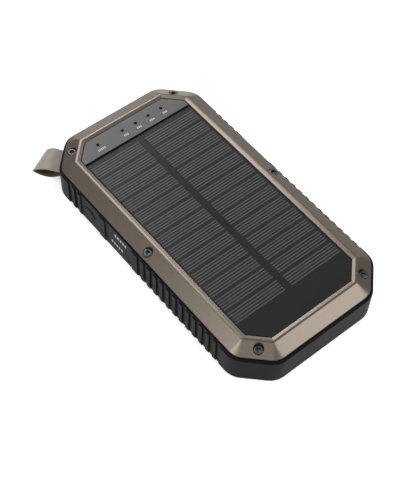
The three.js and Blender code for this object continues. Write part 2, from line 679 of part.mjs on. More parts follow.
// ---------------------------------------------------------------- strap
// The loop's outline, out from the pin and up. It shortens towards +along, where the ribbon is cut skew.
function loopOutline(inset) {
  const root = STRAP_LOOP.root - inset;
  const tip = STRAP_LOOP.tip - STRAP_LOOP.tipInset * inset;
  const upper = STRAP_LOOP.upper - inset;
  const lower = inset - STRAP_LOOP.lower;
  const shape = new THREE.Shape();
  shape.moveTo(0, root);
  shape.bezierCurveTo(3, root, 4, upper, 7, upper);
  shape.bezierCurveTo(11, upper, 15, upper * 0.55, tip, 0.15);
  shape.bezierCurveTo(tip - 0.6, -0.9, 13.5, lower, 9, lower);
  shape.bezierCurveTo(6, lower, 4, -root, 0, -root);
  const loop = shape.getPoints(8);
  for (let step = 1; step < STRAP_LOOP.rootSteps; step += 1) {
    const angle = 1.5 * Math.PI - (step / STRAP_LOOP.rootSteps) * Math.PI;
    loop.push(new THREE.Vector2(root * Math.cos(angle), root * Math.sin(angle)));
  }
  return loop.reverse();
}

function strapLoop() {
  const shape = new THREE.Shape(loopOutline(0));
  shape.holes.push(new THREE.Path(loopOutline(STRAP.thickness)));
  const geometry = new THREE.ExtrudeGeometry(shape, { depth: STRAP.width, bevelEnabled: false });
  const positions = geometry.attributes.position;
  for (let i = 0; i < positions.count; i += 1) {
    const out = positions.getX(i);
    const side = positions.getZ(i);
    const reach = THREE.MathUtils.clamp(out, SKEW_FROM, SKEW_SPAN) - SKEW_FROM;
    positions.setX(i, out * (1 - STRAP.skew * side * reach / SKEW_SPAN));
  }
  const basis = new THREE.Matrix4().makeBasis(OUT, new THREE.Vector3(0, 0, 1), ALONG);
  geometry.applyMatrix4(basis);
  const start = OUT.clone().multiplyScalar(STRAP.pinOut).addScaledVector(ALONG, STRAP.along - STRAP.width / 2);
  geometry.translate(start.x, start.y, STRAP.z);
  return solidOf(geometry);
}

function strapPin() {
  return pinRod(STRAP.pinRadius, STRAP.along - PIN.before, STRAP.along + PIN.after, 14);
}

// ---------------------------------------------------------------- assembly
addSolid('rubber_boot', rubberBoot(), blackRubber());
addSolid('lower_case', lowerCase(), blackPlastic());
addSolid('top_bezel', topBezel(), bronzePaint());
addSolid('case_seal', washer(caseRing, SEAL, BOOT_TOP, LIP_BOTTOM), blackRubber());
addSolid('panel_gasket', washer(windowRing, GASKET, SHELF_TOP, BOARD_BOTTOM), foam());
addSolid('panel_board', panelBoard(), chipBlack());
addSolid('panel_laminate', panelLaminate(), laminateBlack());
addSolid('solar_cells_left', cellSheet(-1), cellSilicon());
addSolid('solar_cells_right', cellSheet(1), cellSilicon());
addSolid('indicator_plate', indicatorPlate(), plateGrey());

LED_SPOTS.forEach((x, i) => {
  addSolid(`light_guide_${i + 1}`, lightGuidePin(x), smokedGuide());
  addSolid(`led_${i + 1}`, onBoard(x, LED.y, LED_SIZE.halfX, LED_SIZE.halfY, LED_SIZE.height), ledBody());
});

Object.entries(SCREW_SPOTS).forEach(([place, spot]) => {
  addSolid(`screw_${place}`, socketScrew(spot), blackSteel());
  addSolid(`insert_${place}`, threadedInsert(spot), brass());
});

addSolid('circuit_board', circuitBoard(), boardGreen());
USB_A.spots.forEach((x, i) => addSolid(`usb_a_socket_${i + 1}`, socketShell(USB_A, x), bareSteel()));
addSolid('usb_c_socket', socketShell(USB_C, USB_C.x), bareSteel());
Object.entries({ control_chip: CHIP, inductor: INDUCTOR }).forEach(([name, { x, y, size, height }]) => {
  addSolid(name, onBoard(x, y, size / 2, size / 2, height), chipBlack());
});
CAPACITOR.spots.forEach((y, i) => addSolid(`capacitor_${i + 1}`, capacitor(y), cellFoil()));
addSolid('tact_switch', tactSwitch(), chipBlack());

Object.entries(POUCH.bottoms).forEach(([name, bottom]) => addSolid(name, pouchCell(bottom), cellFoil()));
addSolid('battery_foam', batteryFoam(), foam());

addSolid('power_button', powerButton(), blackRubber());
addSolid('switch_plunger', switchPlunger(), bareSteel());
addSolid('port_cover', portCover(), blackRubber());
addSolid('port_cover_anchor', coverPanel(COVER.hingeX + FIT_GAP, COVER.anchorRight), blackRubber());
addSolid('strap', strapLoop(), strapTaupe());
addSolid('strap_pin', strapPin(), bareSteel());

Object.entries(LEADS).forEach(([name, { x, color, route }]) => {
  addPiece(name, lead(route.map(([y, z]) => [x, y, z])), wire(color));
});

export default charger;
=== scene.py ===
"""Looks of the rugged solar phone charger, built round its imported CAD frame.

Shapes are worked out in millimetres, in the frame's own axes, and become metres when a mesh is made.
Offsets are measured outward from the edge of the bezel's octagonal window.
"""
import math

import bmesh
import bpy
from mathutils import Matrix, Vector


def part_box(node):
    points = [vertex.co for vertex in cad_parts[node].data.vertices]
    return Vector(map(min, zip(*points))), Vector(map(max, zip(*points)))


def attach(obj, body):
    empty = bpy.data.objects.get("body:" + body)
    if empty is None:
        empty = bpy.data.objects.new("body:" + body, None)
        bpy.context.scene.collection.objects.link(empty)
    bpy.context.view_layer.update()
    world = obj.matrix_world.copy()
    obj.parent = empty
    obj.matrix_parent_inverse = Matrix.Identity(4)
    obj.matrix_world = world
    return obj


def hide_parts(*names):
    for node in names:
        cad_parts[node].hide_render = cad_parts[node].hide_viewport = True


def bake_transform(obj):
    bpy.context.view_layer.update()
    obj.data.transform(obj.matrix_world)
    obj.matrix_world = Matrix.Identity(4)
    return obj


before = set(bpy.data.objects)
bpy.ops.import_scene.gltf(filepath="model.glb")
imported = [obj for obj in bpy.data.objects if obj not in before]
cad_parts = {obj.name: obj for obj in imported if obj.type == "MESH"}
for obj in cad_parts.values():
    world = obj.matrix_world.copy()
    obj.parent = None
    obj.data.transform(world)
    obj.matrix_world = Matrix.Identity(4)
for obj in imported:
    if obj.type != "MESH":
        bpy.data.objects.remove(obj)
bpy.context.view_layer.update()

MM = 0.001
scene = bpy.context.scene


def box_mm(node):
    low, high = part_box(node)
    return low / MM, high / MM


# ---------------------------------------------------------------- sizes, from the frame
BOOT_LOW, BOOT_HIGH = box_mm("rubber_boot")
BEZEL_LOW, BEZEL_HIGH = box_mm("top_bezel")
PANEL_LOW, PANEL_HIGH = box_mm("panel_laminate")
PLATE_LOW, PLATE_HIGH = box_mm("indicator_plate")
BUTTON_LOW, BUTTON_HIGH = box_mm("power_button")
COVER_LOW, COVER_HIGH = box_mm("port_cover")
ANCHOR_LOW, ANCHOR_HIGH = box_mm("port_cover_anchor")

BOOT_OUT = 10.7
BOOT_IN = 8.75
BEZEL_OUT = 9.25
CASE_IN = 6.2
RIDGE_OUT = 2.6
RIDGE_IN = 1.55
SHELF_IN = -2.0
PANEL_GAP = 0.35
BOOT_CORNER_RADIUS = 10.5
WINDOW_CORNER_RADIUS = 0.3
WINDOW_HALF_X = BOOT_HIGH.x - BOOT_OUT
WINDOW_HALF_Y = BOOT_HIGH.y - BOOT_OUT
WINDOW_CUT = 8.45
CUT_GROWTH = 2 - math.sqrt(2)
CORNER_STEPS = 10

RIDGE_TOP = BEZEL_HIGH.z
SLOPE_TOP = RIDGE_TOP - 0.15
PANEL_TOP = PANEL_HIGH.z
LIP_TOP = 17.2
LIP_BOTTOM = 16.75
SHELF_TOP = 18.5
SHELF_BOTTOM = 17.3
BOOT_TOP = BOOT_HIGH.z

OUT = Vector((-math.sqrt(0.5), math.sqrt(0.5), 0))  # square to the far left corner's face
ALONG = Vector((math.sqrt(0.5), math.sqrt(0.5), 0))  # in line with that face


# ---------------------------------------------------------------- outlines
def octagon(offset, radius, right=(), left=()):
    """The octagon at an offset, its corners rounded. right and left hold (y, furthest x) stops."""
    half_x = WINDOW_HALF_X + offset
    half_y = WINDOW_HALF_Y + offset
    side_x = half_x - WINDOW_CUT - CUT_GROWTH * offset
    side_y = half_y - WINDOW_CUT - CUT_GROWTH * offset
    corners = [
        (side_x, -half_y), (half_x, -side_y), (half_x, side_y), (side_x, half_y),
        (-side_x, half_y), (-half_x, side_y), (-half_x, -side_y), (-side_x, -half_y),
    ]
    points = []
    for i, (x, y) in enumerate(corners):
        if i == 2:
            points += [(min(half_x, limit), stop) for stop, limit in right]
        if i == 6:
            points += [(-min(half_x, limit), stop) for stop, limit in reversed(left)]
        first = (i - 2) * math.pi / 4
        middle = first + math.pi / 8
        reach = radius / math.cos(math.pi / 8)
        for step in range(CORNER_STEPS + 1):
            angle = first + step / CORNER_STEPS * math.pi / 4
            points.append((
                x - reach * math.cos(middle) + radius * math.cos(angle),
                y - reach * math.sin(middle) + radius * math.sin(angle),
            ))
    return points


def case_corner(offset):
    return max(WINDOW_CORNER_RADIUS, BOOT_CORNER_RADIUS - (BOOT_OUT - offset))


def bezel_corner(offset):
    blend = min(1, max(0, (offset - RIDGE_OUT) / (BEZEL_OUT - RIDGE_OUT)))
    return WINDOW_CORNER_RADIUS + blend * (case_corner(BEZEL_OUT) - WINDOW_CORNER_RADIUS)


def rounded(corners, steps=5):
    """The closed outline through (across, up, fillet) corners, each fillet drawn as an arc."""
    points = []
    for i, (across, up, radius) in enumerate(corners):
        here = Vector((across, up))
        before = (Vector(corners[i - 1][:2]) - here).normalized()
        after = (Vector(corners[(i + 1) % len(corners)][:2]) - here).normalized()
        if radius == 0:
            points.append(tuple(here))
            continue
        half = before.angle(after) / 2
        centre = here + (before + after).normalized() * (radius / math.sin(half))
        start = here + before * (radius / math.tan(half)) - centre
        end = here + after * (radius / math.tan(half)) - centre
        first = math.atan2(start.y, start.x)
        sweep = (math.atan2(end.y, end.x) - first + math.pi) % (2 * math.pi) - math.pi
        for step in range(steps + 1):
            angle = first + sweep * step / steps
            points.append((centre.x + radius * math.cos(angle), centre.y + radius * math.sin(angle)))
    return points


def rounded_rect(width, height, radius, steps=8):
    x, y = width / 2 - radius, height / 2 - radius
    points = []
    for quarter, (cx, cy) in enumerate([(x, -y), (x, y), (-x, y), (-x, -y)]):
        for step in range(steps + 1):
            angle = (quarter - 1 + step / steps) * math.pi / 2
            points.append((cx + radius * math.cos(angle), cy + radius * math.sin(angle)))
    return points


def circle(radius, sides=48):
    return [(radius * math.cos(2 * math.pi * i / sides), radius * math.sin(2 * math.pi * i / sides))
            for i in range(sides)]


def hexagon(flat_radius, sides=48):
    points = []
    for i in range(sides):
        angle = 2 * math.pi * i / sides
        turn = (angle + math.pi / 6) % (math.pi / 3) - math.pi / 6
        reach = flat_radius / math.cos(turn)
        points.append((reach * math.cos(angle), reach * math.sin(angle)))
    return points


# ---------------------------------------------------------------- meshes
def make_piece(name, vertices, faces, *materials):
    mesh = bpy.data.meshes.new(name)
    mesh.from_pydata([[c * MM for c in v] for v in vertices], [], faces)
    piece = bpy.data.objects.new(name, mesh)
    scene.collection.objects.link(piece)
    for each in materials:
        mesh.materials.append(each)
    work = bmesh.new()
    work.from_mesh(mesh)
    bmesh.ops.recalc_face_normals(work, faces=work.faces)
    work.to_mesh(mesh)
    work.free()
    return piece


def joined_rings(rings, closed):
    """Vertices and faces of a skin through rings of equal length, capped unless it closes on itself."""
    count = len(rings[0])
    vertices = [v for ring in rings for v in ring]
    faces = []
    for k in range(len(rings) if closed else len(rings) - 1):
        low, high = k * count, (k + 1) % len(rings) * count
        for i in range(count):
            j = (i + 1) % count
            faces.append((low + i, low + j, high + j, high + i))
    if not closed:
        faces.append(tuple(reversed(range(count))))
        faces.append(tuple(range(len(vertices) - count, len(vertices))))
    return vertices, faces


def octagonal(name, profile, corner, closed=True, right=(), left=(), paint=None):
    rings = [[(x, y, z) for x, y in octagon(offset, corner(offset), right, left)] for offset, z in profile]
    return make_piece(name, *joined_rings(rings, closed), *([paint] if paint else []))


def layered(name, outlines, place, paint=None):
    """A solid through (outline, depth) layers. place turns (a, b, depth) into a point."""
    rings = [[place(a, b, depth) for a, b in outline] for outline, depth in outlines]
    return make_piece(name, *joined_rings(rings, closed=False), *([paint] if paint else []))


def along_x(y, z):
    return lambda a, b, depth: (depth, y + a, z + b)


def along_y(x, z):
    return lambda a, b, depth: (x - a, depth, z + b)


def along_z(x, y):
    return lambda a, b, depth: (x + a, y + b, depth)


def box_tool(x0, x1, y0, y1, z0, z1):
    outline = [(x0, y0), (x1, y0), (x1, y1), (x0, y1)]
    return layered("tool", [(outline, z0), (outline, z1)], along_z(0, 0))


def boolean(piece, tool, operation):
    """Cuts the tool from the piece, or joins it on, and deletes the tool."""
    modifier = piece.modifiers.new("boolean", "BOOLEAN")
    modifier.operation = operation
    modifier.solver = "EXACT"
    modifier.object = tool
    bpy.context.view_layer.update()
    result = bpy.data.meshes.new_from_object(piece.evaluated_get(bpy.context.evaluated_depsgraph_get()))
    piece.modifiers.clear()
    piece.data = result
    bpy.data.objects.remove(tool)


def carve(piece, *tools):
    for tool in tools:
        boolean(piece, tool, "DIFFERENCE")


def finish_piece(piece, body, nodes=(), sharp=32):
    """Smooth shading with true sharp edges, then the piece's body and the nodes it stands for."""
    piece.data.shade_smooth()
    piece.data.set_sharp_from_angle(angle=math.radians(sharp))
    weighted = piece.modifiers.new("weighted_normals", "WEIGHTED_NORMAL")
    weighted.keep_sharp = True
    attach(piece, body)
    if nodes:
        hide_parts(*nodes)
    return piece


# ---------------------------------------------------------------- materials
def surface(name, color, roughness, metallic=0.0, gloss=0.5, coat=0.0, coat_roughness=0.1,
            grain=(5000, 0.25, 0.03), tone=(60, 0.08), rough_spread=0.06, turn=(0, 0, 0), stretch=(1, 1, 1)):
    """A moulded, painted or printed surface.

    grain is (scale, strength, depth in mm), tone is (scale, amount).
    """
    made = bpy.data.materials.new(name)
    made.use_nodes = True
    nodes, links = made.node_tree.nodes, made.node_tree.links
    shader = nodes["Principled BSDF"]
    shader.inputs["Metallic"].default_value = metallic
    shader.inputs["Specular IOR Level"].default_value = gloss
    shader.inputs["Coat Weight"].default_value = coat
    shader.inputs["Coat Roughness"].default_value = coat_roughness
    place = nodes.new("ShaderNodeTexCoord")
    mapping = nodes.new("ShaderNodeMapping")
    mapping.inputs["Rotation"].default_value = turn
    mapping.inputs["Scale"].default_value = stretch
    links.new(place.outputs["Object"], mapping.inputs["Vector"])

    clouds = nodes.new("ShaderNodeTexNoise")
    clouds.inputs["Scale"].default_value = tone[0]
    clouds.inputs["Detail"].default_value = 5
    links.new(mapping.outputs["Vector"], clouds.inputs["Vector"])
    ramp = nodes.new("ShaderNodeValToRGB")
    ramp.color_ramp.elements[0].position = 0.3
    ramp.color_ramp.elements[1].position = 0.7
    ramp.color_ramp.elements[0].color = [c * (1 - tone[1]) for c in color] + [1]
    ramp.color_ramp.elements[1].color = [c * (1 + tone[1]) for c in color] + [1]
    links.new(clouds.outputs["Fac"], ramp.inputs["Fac"])
    links.new(ramp.outputs["Color"], shader.inputs["Base Color"])

    specks = nodes.new("ShaderNodeTexNoise")
    specks.inputs["Scale"].default_value = grain[0]
    specks.inputs["Detail"].default_value = 3
    links.new(mapping.outputs["Vector"], specks.inputs["Vector"])
    bump = nodes.new("ShaderNodeBump")
    bump.inputs["Strength"].default_value = grain[1]
    bump.inputs["Distance"].default_value = grain[2] * MM
    links.new(specks.outputs["Fac"], bump.inputs["Height"])
    links.new(bump.outputs["Normal"], shader.inputs["Normal"])

    spread = nodes.new("ShaderNodeMapRange")
    spread.inputs["To Min"].default_value = max(0.02, roughness - rough_spread)
    spread.inputs["To Max"].default_value = roughness + rough_spread
    links.new(clouds.outputs["Fac"], spread.inputs["Value"])
    links.new(spread.outputs["Result"], shader.inputs["Roughness"])
    return made


PAINT = surface("bronze_paint", (0.122, 0.101, 0.081), 0.3, metallic=0.63, gloss=0.5,
                grain=(9000, 0.05, 0.008), tone=(900, 0.05), rough_spread=0.03)
RUBBER = surface("black_rubber", (0.005, 0.005, 0.0053), 0.46, gloss=0.05,
                 grain=(6500, 0.3, 0.03), tone=(120, 0.12))
SEAL = surface("seal_rubber", (0.008, 0.008, 0.008), 0.6, gloss=0.2)
CASE = surface("case_plastic", (0.02, 0.02, 0.021), 0.5, gloss=0.3, grain=(3500, 0.35, 0.04))
FILM = surface("panel_film", (0.008, 0.008, 0.0085), 0.3, gloss=0.1, coat=0.85, coat_roughness=0.12,
               grain=(2500, 0.05, 0.01))
CELLS = surface("cell_black", (0.009, 0.009, 0.0094), 0.35, gloss=0.1, coat=0.85, coat_roughness=0.12,
                grain=(3000, 0.06, 0.01), tone=(30, 0.15), stretch=(1, 6, 1))
FINGERS = surface("collector_silver", (0.046, 0.046, 0.046), 0.45, gloss=0.2, coat=0.85, coat_roughness=0.12,
                  grain=(4000, 0.1, 0.01), tone=(300, 0.12))
PLATE = surface("plate_grey", (0.065, 0.065, 0.066), 0.42, gloss=0.2, coat=0.25, coat_roughness=0.2,
                grain=(3500, 0.08, 0.01), tone=(40, 0.04))
PRINT = surface("white_print", (0.4, 0.4, 0.4), 0.6, tone=(1500, 0.12))
STEEL_BLACK = surface("black_oxide", (0.06, 0.06, 0.062), 0.36, metallic=0.8, tone=(800, 0.2))
STEEL = surface("nickel_steel", (0.5, 0.5, 0.51), 0.3, metallic=1.0,
                grain=(3000, 0.15, 0.01), stretch=(1, 20, 1))
BRASS = surface("brass", (0.5, 0.32, 0.08), 0.3, metallic=1.0)
# dark smoked plastic for the light guides, also used as painted shade on the indicator plate's upright faces
SMOKED_AND_PAINTED_SHADE = surface("smoked_guide_and_painted_shade", (0.002, 0.002, 0.0022), 0.5, gloss=0.05)
BOARD = surface("green_board", (0.012, 0.1, 0.035), 0.4, coat=0.5, tone=(200, 0.2))
BACKING = surface("glass_fibre_board", (0.003, 0.003, 0.003), 0.6, gloss=0.1)
FOIL = surface("pouch_foil", (0.5, 0.51, 0.52), 0.35, metallic=0.9, grain=(900, 0.4, 0.1))
FOAM = surface("foam", (0.04, 0.04, 0.04), 0.9, grain=(2500, 1.0, 0.2))
CHIP = surface("chip_black", (0.012, 0.012, 0.013), 0.5)
LED_WHITE = surface("led_body", (0.75, 0.72, 0.6), 0.4)
WIRE_RED = surface("wire_red", (0.35, 0.02, 0.015), 0.45)
WIRE_BLACK = surface("wire_black", (0.012, 0.012, 0.012), 0.45)


def ribbon_weave():
    """Tight flat ribbon: ribs across it and fine threads along it."""
    made = surface("strap_ribbon", (0.2, 0.174, 0.145), 0.5, grain=(4000, 0.3, 0.05), tone=(250, 0.1),
                   turn=(0, 0, -math.pi / 4))
    nodes, links = made.node_tree.nodes, made.node_tree.links
    shader = nodes["Principled BSDF"]
    shader.inputs["Sheen Weight"].default_value = 0.25
    mapping = next(n for n in nodes if n.type == "MAPPING")
    bump = next(n for n in nodes if n.type == "BUMP")
    for direction, scale, strength in (("X", 1300, 0.35), ("Y", 700, 0.25)):
        wave = nodes.new("ShaderNodeTexWave")
        wave.bands_direction = direction
        wave.inputs["Scale"].default_value = scale
        wave.inputs["Distortion"].default_value = 0.4
        links.new(mapping.outputs["Vector"], wave.inputs["Vector"])
        threads = nodes.new("ShaderNodeBump")
        threads.inputs["Strength"].default_value = strength
        threads.inputs["Distance"].default_value = 0.08 * MM
        links.new(wave.outputs["Fac"], threads.inputs["Height"])
        links.new(bump.outputs["Normal"], threads.inputs["Normal"])
        links.new(threads.outputs["Normal"], shader.inputs["Normal"])
        bump = threads
    return made


RIBBON = ribbon_weave()
# painted shade: a dark brown for the inner face of the strap loop, standing in for the shade inside the loop
RIBBON_INSIDE_SHADE = surface("ribbon_inside_shade", (0.07, 0.056, 0.044), 0.7, gloss=0.2,
                      grain=(4000, 0.4, 0.05), tone=(250, 0.15))


# ---------------------------------------------------------------- camera
CAMERA_AZIMUTH = math.radians(-40.8702)
CAMERA_ELEVATION = math.radians(55.3952)
CAMERA_ROLL = math.radians(2.3271)
CAMERA_DISTANCE = 509.405
CAMERA_SHIFT = (-5.9076, -16.7695)
CAMERA_LENS = 79.77
CAMERA_LEVEL = 20.9


def add_camera():
    back = Vector((
        math.sin(CAMERA_AZIMUTH) * math.cos(CAMERA_ELEVATION),
        -math.cos(CAMERA_AZIMUTH) * math.cos(CAMERA_ELEVATION),
        math.sin(CAMERA_ELEVATION),
    ))
    level = Vector((math.cos(CAMERA_AZIMUTH), math.sin(CAMERA_AZIMUTH), 0))
    upright = back.cross(level)
    right = math.cos(CAMERA_ROLL) * level + math.sin(CAMERA_ROLL) * upright
    up = math.cos(CAMERA_ROLL) * upright - math.sin(CAMERA_ROLL) * level
    data = bpy.data.cameras.new("camera")
    data.lens = CAMERA_LENS
    data.sensor_width = 36
    data.clip_start = 0.01
    data.clip_end = 20
    camera = bpy.data.objects.new("camera", data)
    place = back * CAMERA_DISTANCE + right * CAMERA_SHIFT[0] + up * CAMERA_SHIFT[1]
    place += Vector((0, 0, CAMERA_LEVEL))
    turn = Matrix((right, up, back)).transposed().to_4x4()
    camera.matrix_world = Matrix.Translation(place * MM) @ turn
    scene.collection.objects.link(camera)
    scene.camera = camera


add_camera()


# ---------------------------------------------------------------- bezel
def screw_spots():
    names = [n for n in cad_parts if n.startswith("screw_")]
    spots = {}
    for name in sorted(names):
        low, high = box_mm(name)
        spots[name] = ((low.x + high.x) / 2, (low.y + high.y) / 2)
    return spots


SCREW_SPOTS = screw_spots()
SCREW_SEAT = 16.9
SCREW_TOP = box_mm("screw_far_left")[1].z
COUNTERBORE_RADIUS = 2.45
SHANK_HOLE_RADIUS = 1.45
BOSS_RADIUS = 3.4
BOSS_DEPTH = 0.85  # how far a boss reaches below the bezel's lip
BOSS_TOP = 19
PAST = 1  # how far a cutting tool stands past what it cuts


def add_bezel():
    profile = rounded([
        (BEZEL_OUT, LIP_BOTTOM, 0.12), (BEZEL_OUT, LIP_TOP, 0.3), (RIDGE_OUT, SLOPE_TOP, 1.6),
        (RIDGE_IN, RIDGE_TOP, 0.5), (0, PANEL_TOP + 0.1, 0.1), (0, SHELF_TOP, 0), (SHELF_IN, SHELF_TOP, 0),
        (SHELF_IN, SHELF_BOTTOM, 0), (0.6, SHELF_BOTTOM, 0), (3, 18.2, 0), (CASE_IN, LIP_BOTTOM, 0),
    ])
    bezel = octagonal("bezel", profile, bezel_corner, paint=PAINT)
    floor = rounded([(BEZEL_OUT - 0.8, LIP_BOTTOM - 0.6, 0), (BEZEL_OUT - 0.1, LIP_TOP, 0),
                     (RIDGE_OUT, SLOPE_TOP - 0.1, 0)])
    for x, y in SCREW_SPOTS.values():
        round_boss = [(circle(BOSS_RADIUS), LIP_BOTTOM - BOSS_DEPTH), (circle(BOSS_RADIUS), BOSS_TOP)]
        boss = layered("tool", round_boss, along_z(x, y))
        roof = octagonal("tool", floor, bezel_corner, closed=False)
        boolean(boss, roof, "INTERSECT")
        boolean(bezel, boss, "UNION")
    shank, head = circle(SHANK_HOLE_RADIUS), circle(COUNTERBORE_RADIUS)
    hole = [(shank, LIP_BOTTOM - 2 * PAST), (shank, SCREW_SEAT), (head, SCREW_SEAT), (head, RIDGE_TOP + PAST)]
    for x, y in SCREW_SPOTS.values():
        carve(bezel, layered("tool", hole, along_z(x, y)))
    finish_piece(bezel, "housing", ["top_bezel"])


add_bezel()


def add_screw(node, x, y):
    under = SCREW_SEAT + 0.05
    shank = [(circle(1.2), box_mm(node)[0].z), (circle(1.2), under)]
    head = [
        (circle(2.1), under), (circle(2.2), under + 0.1), (circle(2.2), SCREW_TOP - 0.35),
        (circle(2.1), SCREW_TOP - 0.12), (circle(1.9), SCREW_TOP),
    ]
    socket = [
        (circle(1.45), SCREW_TOP), (hexagon(1.12), SCREW_TOP - 0.02), (hexagon(1.02), SCREW_TOP - 0.14),
        (hexagon(1.0), SCREW_TOP - 1.2), (circle(0.05), SCREW_TOP - 1.45),
    ]
    rings = shank + head + socket
    screw = layered(f"{node}_cap", rings, along_z(x, y), STEEL_BLACK)
    finish_piece(screw, "housing", [node])


for screw_node, spot in SCREW_SPOTS.items():
    add_screw(screw_node, *spot)


# ---------------------------------------------------------------- boot
RIB = {"first": 0.18, "pitch": 4.79, "width": 2.4, "count": 12, "depth": 0.75}
LABEL_WINDOW = {"from": 6.95, "to": 28.2, "depth": 0.6}
LONG_RIB = (2.6, 32.6)
LEFT_RIBS = [(47.9, 49.9), (52.8, 54.9)]
LEFT_END = 57.9
RIGHT_RIBS = [(34.8, 37.2), (39.5, 41.95), (44.2, 46.6)]
RIGHT_END = 49.0
RIB_EDGE = 0.14  # half the width of a rib's drafted, rounded flank
RIB_EDGE_STEPS = 6


def rib_stops(ribs, far_end):
    """(y, furthest |x|) stops along a long side, across every groove between the ribs."""
    blocks = [(LONG_RIB[0], LABEL_WINDOW["from"]), (LABEL_WINDOW["to"], LONG_RIB[1]), *ribs]
    for i in range(RIB["count"]):
        top = RIB["first"] - i * RIB["pitch"]
        blocks.append((top - RIB["width"], top))
    blocks.sort()
    near_end = RIB["first"] - RIB["count"] * RIB["pitch"]
    starts = [near_end] + [block[1] for block in blocks]
    ends = [block[0] for block in blocks] + [far_end]
    stops = []
    for start, end in zip(starts, ends):
        depth = LABEL_WINDOW["depth"] if end - start > 2 * RIB["pitch"] else RIB["depth"]
        for edge, rising in ((start, 1), (end, -1)):
            for step in range(RIB_EDGE_STEPS + 1):
                share = step / RIB_EDGE_STEPS
                ease = share * share * (3 - 2 * share)
                down = ease if rising == 1 else 1 - ease
                stops.append((edge + (2 * share - 1) * RIB_EDGE, BOOT_HIGH.x - depth * down))
    return stops


BUTTON_FLANGE = (2.4, 1.8)  # how much longer and taller the flange is than the button's face


def button_tool(clearance, x0, x1):
    height = BUTTON_HIGH.z - BUTTON_LOW.z - BUTTON_FLANGE[1] + 2 * clearance
    width = BUTTON_HIGH.y - BUTTON_LOW.y - BUTTON_FLANGE[0] + 2 * clearance
    middle = (BUTTON_LOW + BUTTON_HIGH) / 2
    outline = rounded_rect(width, height, height / 2 - 0.01)
    return layered("tool", [(outline, x0), (outline, x1)], along_x(middle.y, middle.z))


PIN_LOW, PIN_HIGH = box_mm("strap_pin")
PIN_Z = (PIN_LOW.z + PIN_HIGH.z) / 2
STRAP_ALONG = 27.3
STRAP_WIDTH = 14.0
PIN_OUT = 73.4
SLOT = {"half_width": 7.35, "half_height": 3.2, "back": 72, "front": 80, "radius": 0.8}


def corner_point(out, along, up):
    return tuple(OUT * out + ALONG * along + Vector((0, 0, up)))


def slot_tool():
    outline = rounded_rect(2 * SLOT["half_width"], 2 * SLOT["half_height"], SLOT["radius"])
    rings = [(outline, SLOT["back"]), (outline, SLOT["front"])]
    return layered("tool", rings, lambda a, b, depth: corner_point(depth, STRAP_ALONG + a, PIN_Z + b))


COVER_ROOM = {"gap": 0.3, "radius": 1.3, "depth": 3}
THUMB_NOTCH = {"inner": 2.6, "outer": 3.4, "depth": 0.9, "inset": 0.6}
BOOT_LIP_IN = 7.85
BOOT_FLOOR = 0.9
BUTTON_CLEARANCE = 0.3


def cover_room_tool():
    low, high = COVER_LOW, ANCHOR_HIGH
    width = high.x - low.x + 2 * COVER_ROOM["gap"]
    height = high.z - low.z + 2 * COVER_ROOM["gap"]
    outline = rounded_rect(width, height, COVER_ROOM["radius"])
    place = along_y((low.x + high.x) / 2, (low.z + high.z) / 2)
    rings = [(outline, BOOT_HIGH.y - COVER_ROOM["depth"]), (outline, BOOT_HIGH.y + PAST)]
    return layered("tool", rings, place)


def thumb_notch_tool():
    """The scoop at the free end of the port cover."""
    inner, outer = circle(THUMB_NOTCH["inner"]), circle(THUMB_NOTCH["outer"])
    place = along_y(COVER_LOW.x + THUMB_NOTCH["inset"], (COVER_LOW.z + COVER_HIGH.z) / 2)
    rings = [(inner, BOOT_HIGH.y - THUMB_NOTCH["depth"]), (outer, BOOT_HIGH.y + PAST / 2)]
    return layered("tool", rings, place)


def add_boot():
    profile = rounded([
        (BOOT_LIP_IN, 0, 0), (BOOT_OUT, 0, 1.2), (BOOT_OUT, BOOT_TOP, 1.0), (BOOT_IN, BOOT_TOP, 0.1),
        (BOOT_IN, BOOT_FLOOR, 0),
    ])
    right = rib_stops(RIGHT_RIBS, RIGHT_END)
    left = rib_stops(LEFT_RIBS, LEFT_END)
    boot = octagonal("boot", profile, case_corner, right=right, left=left, paint=RUBBER)
    button_hole = button_tool(BUTTON_CLEARANCE, BOOT_LOW.x - PAST, BOOT_LOW.x + 3)
    carve(boot, cover_room_tool(), thumb_notch_tool(), button_hole, slot_tool())
    finish_piece(boot, "housing", ["rubber_boot"])


add_boot()


# ---------------------------------------------------------------- panel
def window_outline(offset, near, far):
    """The window's octagon at an offset, kept between two lines across it."""
    half_x = WINDOW_HALF_X + offset
    half_y = WINDOW_HALF_Y + offset
    side_x = half_x - WINDOW_CUT - CUT_GROWTH * offset
    side_y = half_y - WINDOW_CUT - CUT_GROWTH * offset
    points = [(-half_x, near), (half_x, near)] if near > -half_y else [
        (-half_x, -side_y), (-side_x, -half_y), (side_x, -half_y), (half_x, -side_y)]
    points += [(half_x, far), (-half_x, far)] if far < half_y else [
        (half_x, side_y), (side_x, half_y), (-side_x, half_y), (-half_x, side_y)]
    return points


def slab(name, outline, bottom, top, paint, edge=0.12, corner=0.35):
    """A flat plate whose upper rim is softened."""
    soft = [(x, y, corner) for x, y in outline]
    middle = Vector((sum(p[0] for p in outline), sum(p[1] for p in outline))) / len(outline)
    full = rounded(soft)

    def pulled_in(amount):
        return [tuple(Vector(p) - (Vector(p) - middle).normalized() * amount) for p in full]

    rings = [(full, bottom), (full, top - edge)]
    rings += [(pulled_in(edge * 0.3), top - edge * 0.3), (pulled_in(edge), top)]
    return layered(name, rings, along_z(0, 0), paint)


SEAM_EASE = 0.25  # the trim on the panel and on the plate, which opens the dark seam between them
CELL_POCKET_GAP = 0.08
FAR_PAST = 1000  # a line across the window this far out cuts nothing


